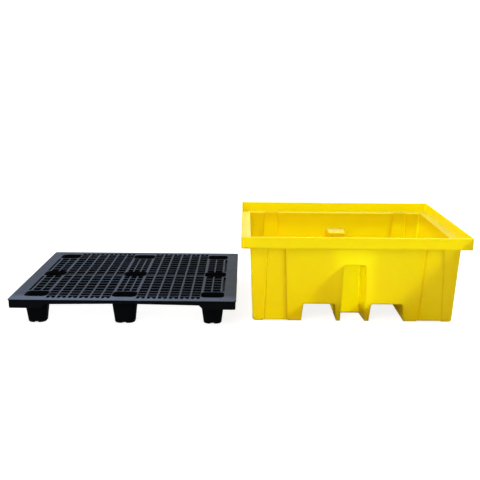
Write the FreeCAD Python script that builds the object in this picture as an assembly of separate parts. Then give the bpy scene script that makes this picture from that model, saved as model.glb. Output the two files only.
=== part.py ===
import FreeCAD, Part
import math
import os

# A spill containment pallet: a sump tub of thin yellow plastic and the black grid deck that nests
# in its rim. The deck is lifted off and stands on the floor to the left of the tub.
# Millimetres. The origin is on the floor, under the middle of the tub. +X is to the right along
# the long side, +Y is to the back, +Z is up.

Vector = FreeCAD.Vector

# Sump tub
WALL = 5.0
TUB_HEIGHT = 480.0
RIM_LENGTH = 1214.0
RIM_WIDTH = 1014.0
RIM_BAND = 63.0               # height of the band that the deck sinks into
RIM_RADIUS = 14.0
RIM_LIP = 3.0                 # rounding of the rim's outer top edge
LEDGE = 47.0                  # how far the rim stands out past the top of the body
BODY_DRAFT = 18.0             # how much each side of the body leans in by the time it meets the floor
BODY_RADIUS = 20.0
FOOT_RADIUS = 6.0             # rounding where the walls meet the underside
LEDGE_UNDERSIDE = TUB_HEIGHT - RIM_BAND
LEDGE_TOP = LEDGE_UNDERSIDE + WALL

# Fork pockets under the tub, which run from front to back
POCKET_INNER = 88.0
POCKET_OUTER = 278.0
POCKET_HEIGHT = 98.0
POCKET_DRAFT = 10.0            # how much each side leans in from the floor to the ceiling
POCKET_RADIUS = 12.0

# Niches in the middle of the front and the back: the hollow pillars that carry the deck's middle
NICHE_FLOOR_HALF = 67.0
NICHE_TOP_HALF = 59.0
NICHE_SLOPE = 0.085           # how fast each side closes in from the wall to the inner end
NICHE_FLOOR_DEPTH = 140.0
NICHE_TOP_DEPTH = 132.0
NICHE_RADIUS = 8.0

# Stiffening pilasters, which bulge out of the front and back walls
PILASTER_BULGE = 12.0
PILASTER_TOP = (369.0, 469.0)
PILASTER_FOOT = (351.0, 484.0)
PILASTER_SIDE_DRAFT = 4.0
PILASTER_START = 8.0
RELIEF_DEPTH = 60.0           # of the step under each pilaster, which is as high as its start

# Grid deck
DECK_LENGTH = 1200.0
DECK_WIDTH = 1000.0
DECK_HEIGHT = 150.0
DECK_RADIUS = 16.0
DECK_LEFT_OF_TUB = 1230.0     # from the middle of the tub to the middle of the deck, in X
DECK_FORWARD = 76.0           # how much nearer to the front the middle of the deck lies
SKIN = 4.0                    # wall of the deck's skirt, feet and webs
PLATE = 6.0                   # top plate of the border
PLATE_EDGE = 2.5
SKIRT_CORNER = 48.0
SKIRT_NEAR_CORNER_FOOT = 26.0
SKIRT_NEAR_MIDDLE_FOOT = 21.0
SKIRT_CORNER_END_X = 426.0    # where the skirt's deep corner ends, seen from the front
SKIRT_CORNER_END_Y = 352.0    # and seen from the side
RIB_DEPTH = 22.0
RIB = 10.0
THIN_RIB = 8.0
THICK_RIB = 15.0
CROSS_RIB = 7.0

# Rib centre lines of the grid
MIDDLE_FIELD = 62.0           # X of the thick ribs beside the middle row of feet
SIDE_FIELD = 414.0            # X of the thick ribs beside the outer rows of feet
LAST_RIB = 516.0
WIDE_CELLS = 6
MIDDLE_CELLS = 3
SIDE_CELLS = 2
CENTRE_BAND = 46.0            # Y of the cross ribs beside the middle row of feet
END_BAND = 338.0              # Y of the cross ribs beside the front and back rows of feet
GRID_END = 463.0              # Y where the plain front and back borders start
ROWS = 6
END_ROWS = 3
PANEL_DROP = 9.0              # how far the closed centre band lies below the ribs
PANEL_THICK = 4.0
TAB_LENGTH = 20.0
TAB_WIDTH = 12.0
GROOVE = (522.0, 534.0)
GROOVE_DEPTH = 12.0
GROOVE_ENDS = (56.0, 332.0)

# Feet: tapered cups, so that one deck nests in another
CORNER_FOOT_X = 472.0
END_FOOT_Y = 390.0
CUP_DEPTH = 92.0              # along Y, where the foot meets the grid
CORNER_CUP_LENGTH = 120.0
MIDDLE_CUP_LENGTH = 128.0
CUP_CORNER = 28.0
CUP_FLARE = 2.0               # how much each cup widens from there to the deck's top, along X
CUP_SIDE_FLARE = 2.0
CORNER_FOOT_TAPER = 16.0
MIDDLE_FOOT_TAPER = 14.0
SIDE_FOOT_TAPER = 8.0         # of every foot, along Y
FOOT_TOP = DECK_HEIGHT - RIB_DEPTH
FOOT_FLOOR = 9.0
FOOT_CHANNEL = 20.0           # width of the shallow channel under each foot
FOOT_CHANNEL_DEPTH = 5.0
FOOT_EDGE = 5.0
WEB_GAP = 6.0                 # how far a foot's inner web stops below the foot's top
WEB_CROSS = 36.0

CLEARANCE = 200.0             # how far a cutting tool runs past what it cuts
BELOW_FLOOR = 10.0            # how far below the floor the cutting tools of the tub start
OVERLAP = 1.0                 # how far shapes that meet run into each other
TOUCH = 0.1                   # heights closer than this count as the same


def rounded_outline(half_x, half_y, radius, z, middle=(0.0, 0.0)):
    """A closed rectangle with round corners, at height z."""
    cx, cy = middle
    swing = radius * math.sqrt(0.5)
    edges = []
    corners = ((1, 1), (-1, 1), (-1, -1), (1, -1))
    for index, (sx, sy) in enumerate(corners):
        centre = Vector(cx + sx * (half_x - radius), cy + sy * (half_y - radius), z)
        side = centre + Vector(sx * radius, 0, 0)
        end = centre + Vector(0, sy * radius, 0)
        start, stop = (side, end) if sx == sy else (end, side)
        bend = centre + Vector(sx * swing, sy * swing, 0)
        edges.append(Part.Arc(start, bend, stop).toShape())
        nx, ny = corners[(index + 1) % 4]
        next_centre = Vector(cx + nx * (half_x - radius), cy + ny * (half_y - radius), z)
        offset = Vector(0, ny * radius, 0) if nx != ny else Vector(nx * radius, 0, 0)
        edges.append(Part.LineSegment(stop, next_centre + offset).toShape())
    return Part.Wire(edges)


def polygon(points):
    return Part.makePolygon([Vector(*point) for point in points] + [Vector(*points[0])])


def flat_sided(lower, upper):
    """The solid between two polygons whose matching sides are parallel."""
    lower = [Vector(*point) for point in lower]
    upper = [Vector(*point) for point in upper]
    faces = [Part.Face(Part.makePolygon(ring + ring[:1])) for ring in (lower, upper)]
    for index, point in enumerate(lower):
        after = (index + 1) % len(lower)
        side = [point, lower[after], upper[after], upper[index], point]
        faces.append(Part.Face(Part.makePolygon(side)))
    return Part.makeSolid(Part.makeShell(faces)).removeSplitter()


def rectangle(half_x, half_y, z, middle=(0.0, 0.0)):
    cx, cy = middle
    corners = ((1, 1), (-1, 1), (-1, -1), (1, -1))
    return [(cx + sx * half_x, cy + sy * half_y, z) for sx, sy in corners]


def tapered_block(lower, upper, side_radius, foot_radius):
    """A block between two rectangles, with its upright edges and the edges of its foot rounded."""
    block = flat_sided(lower, upper)
    bottom, top = lower[0][2], upper[0][2]
    upright = [edge for edge in block.Edges if edge.BoundBox.ZLength > (top - bottom) / 2]
    block = block.makeFillet(side_radius, upright)
    if foot_radius:
        underside = edges_where(block, lambda point: abs(point.z - bottom) < TOUCH)
        block = block.makeFillet(foot_radius, underside)
    return block


def prism(outline, height):
    return Part.Face(outline).extrude(Vector(0, 0, height))


def box(x0, x1, y0, y1, z0, z1):
    return Part.makeBox(x1 - x0, y1 - y0, z1 - z0, Vector(x0, y0, z0))


def edges_where(shape, test):
    """The edges whose two ends both pass the test."""
    return [edge for edge in shape.Edges if all(test(vertex.Point) for vertex in edge.Vertexes)]


def mirrored_y(shape):
    return shape.mirror(Vector(0, 0, 0), Vector(0, 1, 0))


def mirrored_x(shape):
    return shape.mirror(Vector(0, 0, 0), Vector(1, 0, 0))


# ---------------------------------------------------------------- sump tub

def body_half(z):
    """Half the length and half the width of the tub's body at height z."""
    lean = BODY_DRAFT * (1.0 - z / LEDGE_UNDERSIDE)
    return RIM_LENGTH / 2 - LEDGE - lean, RIM_WIDTH / 2 - LEDGE - lean


def body_block(inset, bottom, top):
    """The body between two heights, drawn in by inset on every side."""
    outlines = []
    for z in (bottom, top):
        half_x, half_y = body_half(z)
        outlines.append(rectangle(half_x - inset, half_y - inset, z))
    return tapered_block(*outlines, BODY_RADIUS - inset, FOOT_RADIUS)


def rim_block(inset, bottom, top):
    half_x = RIM_LENGTH / 2 - inset
    half_y = RIM_WIDTH / 2 - inset
    block = prism(rounded_outline(half_x, half_y, RIM_RADIUS - inset, bottom), top - bottom)
    if not inset:
        block = block.makeFillet(RIM_LIP, edges_where(block, lambda point: point.z > top - TOUCH))
    return block


def fork_pocket(grow):
    """The right-hand fork pocket, with its walls moved out by grow."""
    x0 = POCKET_INNER - grow
    x1 = POCKET_OUTER + grow
    top = POCKET_HEIGHT + grow
    slope = POCKET_DRAFT / POCKET_HEIGHT
    y0 = -RIM_WIDTH / 2 - CLEARANCE
    section = polygon((
        (x0 - slope * BELOW_FLOOR, y0, -BELOW_FLOOR),
        (x1 + slope * BELOW_FLOOR, y0, -BELOW_FLOOR),
        (x1 - slope * top, y0, top),
        (x0 + slope * top, y0, top),
    ))
    pocket = Part.Face(section).extrude(Vector(0, -2 * y0, 0))
    ceiling = edges_where(pocket, lambda point: abs(point.z - top) < TOUCH)
    long_edges = [edge for edge in ceiling if edge.Length > RIM_WIDTH]
    return pocket.makeFillet(POCKET_RADIUS + grow, long_edges)


def niche(grow):
    """The front niche: a tapered hollow that is open at the wall and at the floor."""
    top = pillar_top() - WALL + grow
    outer_y = -RIM_WIDTH / 2
    outlines = []
    for z, half, depth in (
        (-BELOW_FLOOR, NICHE_FLOOR_HALF, NICHE_FLOOR_DEPTH),
        (top, NICHE_TOP_HALF, NICHE_TOP_DEPTH),
    ):
        wall_y = -body_half(max(z, 0.0))[1]
        inner_y = wall_y + depth + grow
        wide = half + grow + NICHE_SLOPE * (wall_y - outer_y)
        narrow = half + grow - NICHE_SLOPE * (inner_y - wall_y)
        outlines.append((
            (-wide, outer_y, z), (wide, outer_y, z), (narrow, inner_y, z), (-narrow, inner_y, z),
        ))
    hollow = flat_sided(*outlines)
    inside = edges_where(hollow, lambda point: point.y > outer_y + OVERLAP)
    ceiling = edges_where(hollow, lambda point: abs(point.z - top) < TOUCH)
    sides = [edge for edge in ceiling if edge.Length > 3 * NICHE_TOP_HALF]
    upright = [edge for edge in inside if edge.Length > top / 2]
    across = [edge for edge in inside if edge in ceiling]
    return hollow.makeFillet(NICHE_RADIUS + grow / 2, upright + across + sides)


def pillar_top():
    """The height of the pillars, which meet the deck's middle feet when it is in place."""
    return LEDGE_TOP + SKIRT_CORNER - DECK_HEIGHT


def pilaster(inset):
    """The right-hand bulge in the front wall, drawn in by inset."""
    bottom = PILASTER_START + inset
    top = LEDGE_UNDERSIDE + (WALL if inset else 0.0)
    outlines = []
    for z, (near, far) in ((bottom, PILASTER_FOOT), (top, PILASTER_TOP)):
        wall_y = -body_half(min(z, LEDGE_UNDERSIDE))[1]
        face_y = wall_y - PILASTER_BULGE + inset
        back_y = wall_y + 3 * WALL
        draft = PILASTER_SIDE_DRAFT
        outlines.append((
            (near + inset + draft, face_y, z), (far - inset - draft, face_y, z),
            (far - inset, back_y, z), (near + inset, back_y, z),
        ))
    bulge = flat_sided(*outlines)
    face = edges_where(bulge, lambda point: point.y < -body_half(point.z)[1] - OVERLAP)
    upright = [edge for edge in face if edge.Length > top / 2]
    foot = [edge for edge in face if all(abs(v.Point.z - bottom) < TOUCH for v in edge.Vertexes)]
    return bulge.makeFillet(FOOT_RADIUS - inset / 2, upright + foot)


def pilaster_relief(grow):
    """The low step in the underside below the right-hand front pilaster."""
    near, far = PILASTER_FOOT
    wall_y = -body_half(0.0)[1]
    inner_y = wall_y + RELIEF_DEPTH + grow
    return box(near - grow, far + grow, wall_y - RELIEF_DEPTH, inner_y, -WALL, PILASTER_START + grow)


def tub_volume(inset):
    """The outside of the tub when inset is 0, and its cavity when inset is the wall."""
    body_top = LEDGE_UNDERSIDE + (WALL if inset else 0.0)
    above = CLEARANCE if inset else 0.0
    volume = body_block(inset, inset, body_top)
    for bulge in (pilaster(inset), mirrored_x(pilaster(inset))):
        volume = volume.fuse(bulge)
        volume = volume.fuse(mirrored_y(bulge))
    volume = volume.fuse(rim_block(inset, body_top, TUB_HEIGHT + above))
    for hollow in (fork_pocket(inset), mirrored_x(fork_pocket(inset))):
        volume = volume.cut(hollow)
    for hollow in (niche(inset), mirrored_y(niche(inset))):
        volume = volume.cut(hollow)
    for hollow in (pilaster_relief(inset), mirrored_x(pilaster_relief(inset))):
        volume = volume.cut(hollow)
        volume = volume.cut(mirrored_y(hollow))
    return volume


def sump_tub():
    return tub_volume(0.0).cut(tub_volume(WALL)).removeSplitter()


# ---------------------------------------------------------------- deck

def spaced(start, stop, cells):
    """Rib centre lines from start to stop, both ends included."""
    return [start + (stop - start) * step / cells for step in range(cells + 1)]


def rib_lines():
    """The X and width of every rib that runs from front to back, from left to right."""
    half = [(MIDDLE_FIELD / MIDDLE_CELLS, THIN_RIB), (MIDDLE_FIELD, THICK_RIB)]
    half += [(x, RIB) for x in spaced(MIDDLE_FIELD, SIDE_FIELD, WIDE_CELLS)[1:-1]]
    half += [(SIDE_FIELD, THICK_RIB)]
    half += [(x, THIN_RIB) for x in spaced(SIDE_FIELD, LAST_RIB, SIDE_CELLS)[1:-1]]
    half += [(LAST_RIB, RIB)]
    return [(-x, width) for x, width in reversed(half)] + half


def row_lines():
    """The Y of every cross rib behind the middle of the deck."""
    return spaced(CENTRE_BAND, END_BAND, ROWS)


def cell(x0, x1, y0, y1, z):
    return polygon(((x0, y0, z), (x1, y0, z), (x1, y1, z), (x0, y1, z)))


def tabbed_cell(x0, x1, y0, y1, sign, z):
    """A cell whose outer end is split by a short tab from the border."""
    middle = (x0 + x1) / 2
    left = middle - TAB_WIDTH / 2
    right = middle + TAB_WIDTH / 2
    tip = y1 - TAB_LENGTH
    points = [(x0, y0), (x1, y0), (x1, y1), (right, y1), (right, tip), (left, tip), (left, y1), (x0, y1)]
    return polygon([(x, sign * y, z) for x, y in points])


def cell_outlines(z):
    """The outline of every open cell of the grid."""
    ribs = rib_lines()
    outlines = []
    for (x_left, left_width), (x_right, right_width) in zip(ribs, ribs[1:]):
        x0 = x_left + left_width / 2
        x1 = x_right - right_width / 2
        middle = abs(x0 + x1) / 2
        beside_feet = middle < MIDDLE_FIELD or middle > SIDE_FIELD
        for sign in (1, -1):
            rows = row_lines()
            if not beside_feet:
                rows = rows + spaced(END_BAND, GRID_END, END_ROWS)[1:]
            for y_near, y_far in zip(rows, rows[1:]):
                y0 = y_near + CROSS_RIB / 2
                y1 = y_far - CROSS_RIB / 2
                if y_far == GRID_END:
                    outlines.append(tabbed_cell(x0, x1, y0, GRID_END, sign, z))
                else:
                    outlines.append(cell(x0, x1, *sorted((sign * y0, sign * y1)), z))
    return outlines


def feet():
    """The name, middle, opening length and taper along X of each of the nine feet."""
    found = []
    for row, y in (("front", -END_FOOT_Y), ("centre", 0.0), ("back", END_FOOT_Y)):
        for column, x in (("left", -CORNER_FOOT_X), ("middle", 0.0), ("right", CORNER_FOOT_X)):
            length = CORNER_CUP_LENGTH if x else MIDDLE_CUP_LENGTH
            taper = CORNER_FOOT_TAPER if x else MIDDLE_FOOT_TAPER
            found.append(("foot_%s_%s" % (row, column), x, y, length, taper))
    return found


def cup_mouth(x, y, length):
    """The flared opening over a foot, from the foot's top to the deck's top."""
    outlines = []
    for z in (FOOT_TOP - OVERLAP, DECK_HEIGHT + OVERLAP):
        rise = (z - FOOT_TOP) / RIB_DEPTH
        half_x = length / 2 + CUP_FLARE * rise
        half_y = CUP_DEPTH / 2 + CUP_SIDE_FLARE * rise
        outlines.append(rectangle(half_x, half_y, z, (x, y)))
    return tapered_block(*outlines, CUP_CORNER, 0.0)


def skirt_profile(half_length, corner_end, middle_end):
    """Half of a skirt's side view, as (distance from the middle, height) points."""
    top = DECK_HEIGHT
    corner_run = SKIRT_CORNER - SKIRT_NEAR_CORNER_FOOT
    return [
        (0.0, top), (half_length, top), (half_length, top - SKIRT_CORNER),
        (corner_end, top - SKIRT_CORNER), (corner_end - corner_run, top - SKIRT_NEAR_CORNER_FOOT),
        (middle_end, top - SKIRT_NEAR_MIDDLE_FOOT), (0.0, top - SKIRT_NEAR_MIDDLE_FOOT),
    ]


def skirt_mask():
    """What is left of the deck's outside below the plate, seen from the front and from the side."""
    front = skirt_profile(DECK_LENGTH / 2, SKIRT_CORNER_END_X, MIDDLE_FIELD)
    side = skirt_profile(DECK_WIDTH / 2, SKIRT_CORNER_END_Y, CENTRE_BAND)
    masks = []
    for profile, along_x, reach in ((front, True, DECK_WIDTH), (side, False, DECK_LENGTH)):
        points = [(-a, z) for a, z in reversed(profile)] + profile
        points = [point for point, after in zip(points, points[1:] + points[:1]) if point != after]
        if along_x:
            outline = polygon([(a, -reach / 2 - OVERLAP, z) for a, z in points])
            masks.append(Part.Face(outline).extrude(Vector(0, reach + 2 * OVERLAP, 0)))
        else:
            outline = polygon([(-reach / 2 - OVERLAP, a, z) for a, z in points])
            masks.append(Part.Face(outline).extrude(Vector(reach + 2 * OVERLAP, 0, 0)))
    return masks


def skirt():
    """The deck's outer wall: deep at the corners, shallow between the feet."""
    bottom = DECK_HEIGHT - SKIRT_CORNER
    inner = DECK_LENGTH / 2 - SKIN, DECK_WIDTH / 2 - SKIN
    ring = Part.Face([
        rounded_outline(DECK_LENGTH / 2, DECK_WIDTH / 2, DECK_RADIUS, bottom),
        rounded_outline(inner[0], inner[1], DECK_RADIUS - SKIN, bottom),
    ]).extrude(Vector(0, 0, SKIRT_CORNER - PLATE))
    front_mask, side_mask = skirt_mask()
    y_inner = DECK_WIDTH / 2 - DECK_RADIUS
    x_inner = DECK_LENGTH / 2 - DECK_RADIUS
    along = box(-DECK_LENGTH, DECK_LENGTH, -y_inner, y_inner, 0, DECK_HEIGHT)
    ends = box(-DECK_LENGTH, DECK_LENGTH, -DECK_WIDTH, -y_inner, 0, DECK_HEIGHT)
    ends = ends.fuse(mirrored_y(ends))
    keep_x = box(-x_inner, x_inner, -DECK_WIDTH, DECK_WIDTH, 0, DECK_HEIGHT)
    sides = ring.common(along).cut(keep_x).common(side_mask)
    fronts = ring.common(ends).common(front_mask)
    return fronts.fuse(sides)


def border_ribs():
    """Short ribs under the plain border, from the skirt to the grid."""
    lower = DECK_HEIGHT - SKIRT_NEAR_MIDDLE_FOOT + OVERLAP
    top = DECK_HEIGHT - PLATE
    ribs = []
    for x in spaced(-SIDE_FIELD, SIDE_FIELD, 2 * WIDE_CELLS):
        rib = box(x - SKIN / 2, x + SKIN / 2, GRID_END, DECK_WIDTH / 2 - SKIN / 2, lower, top)
        ribs += [rib, mirrored_y(rib)]
    for y in spaced(-END_BAND, END_BAND, 2 * ROWS):
        rib = box(GROOVE[1], DECK_LENGTH / 2 - SKIN / 2, y - SKIN / 2, y + SKIN / 2, lower, top)
        ribs += [rib, mirrored_x(rib)]
    return ribs


def panel_recesses():
    """What is cut away above and below the closed panels of the centre band."""
    half = CENTRE_BAND - CROSS_RIB / 2
    floor = DECK_HEIGHT - PANEL_DROP
    recesses = []
    for x0, x1 in panel_spans():
        recesses.append(box(x0, x1, -half, half, floor, DECK_HEIGHT))
        recesses.append(box(x0, x1, -half, half, FOOT_TOP, floor - PANEL_THICK))
    return recesses


def border_grooves():
    """The groove in the left and right borders, beside each run of the grid."""
    grooves = []
    for y0, y1 in (GROOVE_ENDS, (-GROOVE_ENDS[1], -GROOVE_ENDS[0])):
        groove = box(GROOVE[0], GROOVE[1], y0, y1, DECK_HEIGHT - GROOVE_DEPTH, DECK_HEIGHT)
        grooves += [groove, mirrored_x(groove)]
    return grooves


def deck_grid():
    """The top of the deck: plate, grid, collars round the cups, and the skirt."""
    plate_outline = rounded_outline(
        DECK_LENGTH / 2, DECK_WIDTH / 2, DECK_RADIUS, DECK_HEIGHT - PLATE,
    )
    plate = prism(plate_outline, PLATE)
    plate = plate.makeFillet(PLATE_EDGE, edges_where(plate, lambda point: point.z > DECK_HEIGHT - TOUCH))
    field_outline = rounded_outline(GROOVE[1] + SKIN, GRID_END + SKIN, CUP_CORNER + SKIN, FOOT_TOP)
    deck = plate.fuse([prism(field_outline, RIB_DEPTH - PLATE / 2), skirt()] + border_ribs())

    through = [prism(outline, RIB_DEPTH + 2 * OVERLAP) for outline in cell_outlines(FOOT_TOP - OVERLAP)]
    through += [cup_mouth(x, y, length) for _, x, y, length, _ in feet()]
    deck = deck.cut(Part.makeCompound(through))
    deck = deck.cut(Part.makeCompound(panel_recesses() + border_grooves()))
    return deck.removeSplitter()


def panel_spans():
    """The X range of each closed panel of the centre band, between the feet."""
    ribs = rib_lines()
    spans = []
    for (x_left, left_width), (x_right, right_width) in zip(ribs, ribs[1:]):
        x0 = x_left + left_width / 2
        x1 = x_right - right_width / 2
        if MIDDLE_FIELD < abs(x0 + x1) / 2 < SIDE_FIELD:
            spans.append((x0, x1))
    return spans


def foot(x, y, length, taper):
    """A tapered cup with a closed floor, open at the top."""
    shell = foot_block(x, y, length, taper, SKIN, 0.0, FOOT_TOP)
    shell = shell.cut(foot_block(x, y, length, taper, 0.0, FOOT_FLOOR, FOOT_TOP + OVERLAP))
    if (x == 0) != (y == 0):
        web = foot_web(x, y, length).common(foot_block(x, y, length, taper, SKIN / 2, OVERLAP, FOOT_TOP))
        shell = shell.fuse(web).removeSplitter()
    half = FOOT_CHANNEL / 2
    return shell.cut(box(x - half, x + half, y - CUP_DEPTH, y + CUP_DEPTH, -OVERLAP, FOOT_CHANNEL_DEPTH))


def foot_block(x, y, length, taper, grow, bottom, top):
    """The foot's outer form between two heights, or its cavity, with the walls moved out by grow."""
    outlines = []
    for z in (bottom, top):
        lean = 1.0 - z / FOOT_TOP
        half_x = length / 2 + grow - taper * lean
        half_y = CUP_DEPTH / 2 + grow - SIDE_FOOT_TAPER * lean
        outlines.append(rectangle(half_x, half_y, z, (x, y)))
    return tapered_block(*outlines, CUP_CORNER + grow, FOOT_EDGE)


def foot_web(x, y, length):
    """The T-shaped web in a foot in the middle of a side, from its outer wall to its middle."""
    top = FOOT_TOP - WEB_GAP
    if x == 0:
        outward = math.copysign(CUP_DEPTH / 2, y)
        stem = box(-SKIN / 2, SKIN / 2, *sorted((y, y + outward)), 0, top)
        cross = box(-WEB_CROSS / 2, WEB_CROSS / 2, y - SKIN / 2, y + SKIN / 2, 0, top)
    else:
        outward = math.copysign(length / 2, x)
        stem = box(*sorted((x, x + outward)), -SKIN / 2, SKIN / 2, 0, top)
        cross = box(x - SKIN / 2, x + SKIN / 2, -WEB_CROSS / 2, WEB_CROSS / 2, 0, top)
    return stem.fuse(cross)


def place_deck_piece(shape):
    placed = shape.copy()
    placed.translate(Vector(-DECK_LEFT_OF_TUB, -DECK_FORWARD, 0))
    return placed


def main():
    os.makedirs("parts", exist_ok=True)
    pieces = {"sump_tub": sump_tub()}
    pieces["deck_grid"] = place_deck_piece(deck_grid())
    for name, x, y, length, taper in feet():
        pieces[name] = place_deck_piece(foot(x, y, length, taper))
    for name, shape in pieces.items():
        solids = shape.Solids
        bounds = shape.BoundBox
        print(name, shape.isValid(), len(solids), round(shape.Volume / 1e6, 3), "litres", bounds)
        shape.exportStep("parts/%s.step" % name)


main()
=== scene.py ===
import math

import bpy
from mathutils import Euler, Matrix, Vector


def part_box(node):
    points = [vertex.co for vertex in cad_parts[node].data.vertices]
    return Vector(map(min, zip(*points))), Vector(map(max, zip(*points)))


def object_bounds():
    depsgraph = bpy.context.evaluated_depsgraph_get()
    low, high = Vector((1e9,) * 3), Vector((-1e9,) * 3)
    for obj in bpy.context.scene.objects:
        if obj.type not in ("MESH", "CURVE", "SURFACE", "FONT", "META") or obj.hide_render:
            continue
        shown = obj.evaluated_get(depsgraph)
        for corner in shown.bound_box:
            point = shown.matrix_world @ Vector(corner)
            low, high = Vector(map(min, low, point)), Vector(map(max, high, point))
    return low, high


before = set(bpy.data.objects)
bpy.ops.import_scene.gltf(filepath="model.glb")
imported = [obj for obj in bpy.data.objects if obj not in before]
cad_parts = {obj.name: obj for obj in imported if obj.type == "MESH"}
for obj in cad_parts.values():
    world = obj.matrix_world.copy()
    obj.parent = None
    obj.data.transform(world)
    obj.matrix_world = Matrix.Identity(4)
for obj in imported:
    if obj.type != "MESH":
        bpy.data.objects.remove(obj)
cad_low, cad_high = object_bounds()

# A yellow sump tub, and beside it the black grid deck that nests in its rim. Metres.

TUB = "sump_tub"
DECK = "deck_grid"
FEET = [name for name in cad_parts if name.startswith("foot_")]

tub_low, tub_high = (Vector(corner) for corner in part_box(TUB))
tub_middle = (tub_low + tub_high) / 2
deck_low, deck_high = (Vector(corner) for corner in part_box(DECK))

# Edge rounding that moulded plastic has where the design leaves a sharp edge
TUB_EDGE = 0.0022
DECK_EDGE = 0.0012
SHARP_ANGLE = math.radians(38)
WELD_DISTANCE = 0.00002

# How far below the deck's top its painted sheen starts to fade, and is gone
SHEEN_FADES = 0.003
SHEEN_ENDS = 0.010

# How far from the deck's front edge the painted sheen is at its lightest, and no longer is
FRONT_SHEEN_FULL = 0.05
FRONT_SHEEN_ENDS = 0.10

# The tub's front pillar, which is taken to be thinner than its solid is: its middle and half its
# size, how many times that size the thinning reaches, and how far light travels there and elsewhere
PILLAR_MIDDLE = (0.0, -0.39, 0.16)
PILLAR_HALF = (0.075, 0.11, 0.165)
THINNING_ENDS = 1.7
THIN_GLOW = 0.056
WALL_GLOW = 0.028

FLOOR_REACH = 40.0
FLOOR_GAP = 0.0005            # between the floor and the parts that stand on it


# ---------------------------------------------------------------- shape

def soften_edges(node, width, segments):
    """Rounds the sharp edges of a carried-over part, as its mould would."""
    weld = node.modifiers.new("weld", "WELD")
    weld.merge_threshold = WELD_DISTANCE
    bevel = node.modifiers.new("edges", "BEVEL")
    bevel.width = width
    bevel.segments = segments
    bevel.limit_method = "ANGLE"
    bevel.angle_limit = SHARP_ANGLE
    bevel.use_clamp_overlap = True
    normals = node.modifiers.new("normals", "WEIGHTED_NORMAL")
    normals.keep_sharp = False
    normals.weight = 70


# ---------------------------------------------------------------- materials

class Nodes:
    """A material's node tree, with short ways to add and join nodes."""

    def __init__(self, name):
        self.material = bpy.data.materials.new(name)
        self.material.use_nodes = True
        self.tree = self.material.node_tree
        self.tree.nodes.clear()
        self.output = self.tree.nodes.new("ShaderNodeOutputMaterial")
        self.shader = self.add("ShaderNodeBsdfPrincipled")
        self.join(self.shader.outputs[0], self.output.inputs["Surface"])
        self.coordinates = self.add("ShaderNodeTexCoord")
        self.place = self.coordinates.outputs["Object"]

    def add(self, kind, **settings):
        node = self.tree.nodes.new(kind)
        for key, value in settings.items():
            setattr(node, key, value)
        return node

    def join(self, source, target):
        self.tree.links.new(source, target)

    def noise(self, scale, detail):
        """A noise value from 0 to 1, in the object's own space."""
        noise = self.add("ShaderNodeTexNoise")
        noise.inputs["Scale"].default_value = scale
        noise.inputs["Detail"].default_value = detail
        self.join(self.place, noise.inputs["Vector"])
        return noise.outputs["Fac"]

    def span(self, value, low, high):
        """Maps a value from 0..1 to low..high."""
        ramp = self.add("ShaderNodeMapRange")
        ramp.inputs["To Min"].default_value = low
        ramp.inputs["To Max"].default_value = high
        self.join(value, ramp.inputs["Value"])
        return ramp.outputs["Result"]

    def split(self, vector):
        """The X, Y and Z of a vector."""
        parts = self.add("ShaderNodeSeparateXYZ")
        self.join(vector, parts.inputs["Vector"])
        return parts.outputs

    def rise(self, value, start, full):
        """0 where a value is at its start, rising to 1 where it is full."""
        ramp = self.add("ShaderNodeMapRange")
        ramp.inputs["From Min"].default_value = start
        ramp.inputs["From Max"].default_value = full
        self.join(value, ramp.inputs["Value"])
        return ramp.outputs["Result"]

    def maths(self, operation, first, second):
        """Works out one value from two."""
        maths = self.add("ShaderNodeMath", operation=operation)
        self.join(first, maths.inputs[0])
        self.join(second, maths.inputs[1])
        return maths.outputs["Value"]

    def blend(self, factor, first, second):
        """Mixes two plain colours by a factor."""
        mix = self.add("ShaderNodeMix", data_type="RGBA")
        self.join(factor, mix.inputs["Factor"])
        mix.inputs[6].default_value = (*first, 1.0)
        mix.inputs[7].default_value = (*second, 1.0)
        return mix.outputs[2]

    def mix(self, factor, first, second):
        """Mixes two colours that come from other nodes."""
        mix = self.add("ShaderNodeMix", data_type="RGBA")
        self.join(factor, mix.inputs["Factor"])
        self.join(first, mix.inputs[6])
        self.join(second, mix.inputs[7])
        return mix.outputs[2]

    def bump(self, height, strength, distance, under=None):
        bump = self.add("ShaderNodeBump")
        bump.inputs["Strength"].default_value = strength
        bump.inputs["Distance"].default_value = distance
        self.join(height, bump.inputs["Height"])
        if under:
            self.join(under, bump.inputs["Normal"])
        return bump.outputs["Normal"]


def facing_up(nodes, start, full):
    """How far a surface faces up, from 0 to 1, in the object's own space."""
    return nodes.rise(nodes.split(nodes.coordinates.outputs["Normal"])["Z"], start, full)


def on_deck_top(nodes):
    """1 where a surface faces up at the height of the deck's top, and 0 lower down."""
    height = nodes.split(nodes.place)["Z"]
    high = nodes.rise(height, deck_high.z - SHEEN_ENDS, deck_high.z - SHEEN_FADES)
    return nodes.maths("MULTIPLY", facing_up(nodes, 0.55, 0.95), high)


def drawn_thin(nodes):
    """How far light travels in the wall: further in the front pillar, as if its wall were thinner."""
    from_pillar = nodes.add("ShaderNodeVectorMath", operation="SUBTRACT")
    nodes.join(nodes.place, from_pillar.inputs[0])
    from_pillar.inputs[1].default_value = PILLAR_MIDDLE
    off_middle = nodes.add("ShaderNodeVectorMath", operation="ABSOLUTE")
    nodes.join(from_pillar.outputs["Vector"], off_middle.inputs[0])
    share = nodes.add("ShaderNodeVectorMath", operation="DIVIDE")
    nodes.join(off_middle.outputs["Vector"], share.inputs[0])
    share.inputs[1].default_value = PILLAR_HALF
    parts = nodes.split(share.outputs["Vector"])
    across = nodes.maths("MAXIMUM", parts["X"], parts["Y"])
    furthest = nodes.maths("MAXIMUM", across, parts["Z"])
    away = nodes.rise(furthest, 1.0, THINNING_ENDS)
    return nodes.span(away, THIN_GLOW, WALL_GLOW)


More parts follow.
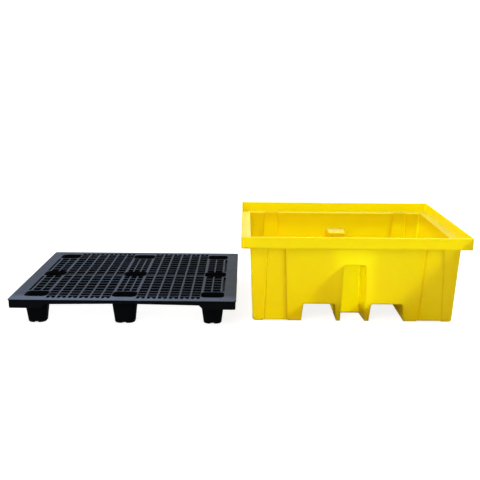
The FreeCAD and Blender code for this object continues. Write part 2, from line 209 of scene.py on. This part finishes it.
def tub_plastic():
    """Yellow moulded polyethylene: satin, thin enough that light glows through it, with a painted
    highlight on its up-facing surfaces.
    """
    nodes = Nodes("yellow_polyethylene")
    shader = nodes.shader.inputs
    clouds = nodes.noise(2.6, 3.0)
    yellow = nodes.blend(clouds, (0.86, 0.56, 0.0), (0.88, 0.595, 0.0))
    # Painted highlight: up-facing surfaces are painted paler and less saturated, standing in for
    # light falling on them from above
    painted_top_highlight = nodes.blend(clouds, (0.84, 0.66, 0.06), (0.86, 0.72, 0.12))
    colour = nodes.mix(facing_up(nodes, 0.7, 0.98), yellow, painted_top_highlight)
    nodes.join(colour, shader["Base Color"])
    nodes.join(nodes.span(nodes.noise(14.0, 4.0), 0.30, 0.42), shader["Roughness"])
    shader["Subsurface Weight"].default_value = 1.0
    shader["Subsurface Radius"].default_value = (0.78, 1.0, 0.05)
    nodes.join(drawn_thin(nodes), shader["Subsurface Scale"])
    shader["IOR"].default_value = 1.5
    shader["Specular IOR Level"].default_value = 0.2
    waviness = nodes.bump(nodes.noise(9.0, 2.0), 0.12, 0.004)
    grain = nodes.bump(nodes.noise(900.0, 2.0), 0.12, 0.0003, waviness)
    nodes.join(grain, shader["Normal"])
    return nodes.material


def deck_plastic():
    """Black polyethylene, finely grained, with a painted blue-grey sheen on its top that stands in
    for reflected light, painted lighter at the front.
    """
    nodes = Nodes("black_polyethylene")
    shader = nodes.shader.inputs
    black = nodes.blend(nodes.noise(18.0, 5.0), (0.0015, 0.002, 0.003), (0.004, 0.005, 0.007))
    # Painted reflection: the deck's top is painted blue-grey, standing in for the bright surroundings
    # reflected on black plastic
    painted_sheen = nodes.blend(nodes.noise(7.0, 4.0), (0.018, 0.029, 0.054), (0.032, 0.048, 0.080))
    # Painted light: near the front edge the sheen is painted lighter still, standing in for light
    # falling on the deck's near edge
    painted_front_sheen = nodes.blend(nodes.noise(7.0, 4.0), (0.055, 0.078, 0.128), (0.072, 0.098, 0.158))
    front = nodes.rise(nodes.split(nodes.place)["Y"], deck_low.y + FRONT_SHEEN_ENDS, deck_low.y + FRONT_SHEEN_FULL)
    top = on_deck_top(nodes)
    nodes.join(nodes.mix(top, black, nodes.mix(front, painted_sheen, painted_front_sheen)), shader["Base Color"])
    nodes.join(nodes.span(nodes.noise(26.0, 4.0), 0.42, 0.6), shader["Roughness"])
    shader["IOR"].default_value = 1.5
    nodes.join(nodes.span(top, 0.05, 0.15), shader["Specular IOR Level"])
    waviness = nodes.bump(nodes.noise(22.0, 3.0), 0.15, 0.0012)
    grain = nodes.bump(nodes.noise(700.0, 2.0), 0.25, 0.0003, waviness)
    nodes.join(grain, shader["Normal"])
    return nodes.material


def floor_paint():
    """Pale grey, and lit up to white where the camera sees it."""
    nodes = Nodes("studio_floor")
    shader = nodes.shader.inputs
    colour = nodes.blend(nodes.noise(0.6, 2.0), (0.38, 0.38, 0.38), (0.41, 0.41, 0.41))
    nodes.join(colour, shader["Base Color"])
    shader["Roughness"].default_value = 0.8
    shader["Emission Color"].default_value = (1.0, 1.0, 1.0, 1.0)
    path = nodes.add("ShaderNodeLightPath")
    nodes.join(nodes.span(path.outputs["Is Camera Ray"], 0.0, 0.84), shader["Emission Strength"])
    return nodes.material


def finish_with(node, material):
    node.data.materials.clear()
    node.data.materials.append(material)


# ---------------------------------------------------------------- studio

def make_floor():
    """A wide floor, a hair below the parts that stand on it."""
    mesh = bpy.data.meshes.new("floor")
    sides = ((-1, -1), (1, -1), (1, 1), (-1, 1))
    corners = [(x * FLOOR_REACH, y * FLOOR_REACH, 0.0) for x, y in sides]
    mesh.from_pydata(corners, [], [(0, 1, 2, 3)])
    floor = bpy.data.objects.new("floor", mesh)
    bpy.context.scene.collection.objects.link(floor)
    floor.location.z = cad_low[2] - FLOOR_GAP
    finish_with(floor, floor_paint())


def make_world(front, back, seen):
    """White all round: brighter behind the object than before it, and evenly white as a backdrop."""
    world = bpy.data.worlds.new("studio")
    world.use_nodes = True
    tree = world.node_tree
    background = tree.nodes["Background"]
    background.inputs["Color"].default_value = (1.0, 1.0, 1.0, 1.0)
    place = tree.nodes.new("ShaderNodeTexCoord")
    parts = tree.nodes.new("ShaderNodeSeparateXYZ")
    tree.links.new(place.outputs["Generated"], parts.inputs["Vector"])
    depth = tree.nodes.new("ShaderNodeMapRange")
    depth.inputs["From Min"].default_value = -1.0
    depth.inputs["To Min"].default_value = front
    depth.inputs["To Max"].default_value = back
    tree.links.new(parts.outputs["Y"], depth.inputs["Value"])
    path = tree.nodes.new("ShaderNodeLightPath")
    mix = tree.nodes.new("ShaderNodeMix")
    tree.links.new(path.outputs["Is Camera Ray"], mix.inputs["Factor"])
    tree.links.new(depth.outputs["Result"], mix.inputs["A"])
    mix.inputs["B"].default_value = seen
    tree.links.new(mix.outputs["Result"], background.inputs["Strength"])
    bpy.context.scene.world = world


def make_light(name, offset, size, power):
    """A square soft light at an offset from the middle of the tub, facing it."""
    data = bpy.data.lights.new(name, "AREA")
    data.size = size
    data.energy = power
    light = bpy.data.objects.new(name, data)
    light.location = tub_middle + Vector(offset)
    light.rotation_euler = Vector(offset).to_track_quat("Z", "Y").to_euler()
    bpy.context.scene.collection.objects.link(light)


def make_camera():
    """The camera in front of the gap between deck and tub, looking a little down."""
    height = 1.3224
    left_of_tub = 0.5909
    before_tub = 4.1074
    tilt_down = 0.2342
    turn_left = 0.0061
    roll = 0.0070
    data = bpy.data.cameras.new("camera")
    data.sensor_width = 36.0
    data.lens = 53.324
    camera = bpy.data.objects.new("camera", data)
    camera.location = (tub_middle.x - left_of_tub, tub_middle.y - before_tub, tub_low.z + height)
    aim = Euler((math.pi / 2 - tilt_down, 0.0, turn_left)).to_matrix()
    turn = aim @ Matrix.Rotation(roll, 3, "Z")
    camera.rotation_euler = turn.to_euler()
    bpy.context.scene.collection.objects.link(camera)
    bpy.context.scene.camera = camera


cad_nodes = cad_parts
finish_with(cad_nodes[TUB], tub_plastic())
soften_edges(cad_nodes[TUB], TUB_EDGE, 3)
black = deck_plastic()
for name in [DECK] + FEET:
    finish_with(cad_nodes[name], black)
    soften_edges(cad_nodes[name], DECK_EDGE, 2)

make_floor()
make_world(front=0.30, back=0.93, seen=1.1)
make_light("key", (3.6, 2.3, 3.4), 0.8, 250.0)
make_light("front_fill", (-2.6, -4.2, 3.4), 2.5, 93.0)
make_light("overhead", (-0.3, 0.5, 3.8), 2.2, 42.0)
make_camera()
bpy.context.scene.view_settings.view_transform = "Standard"
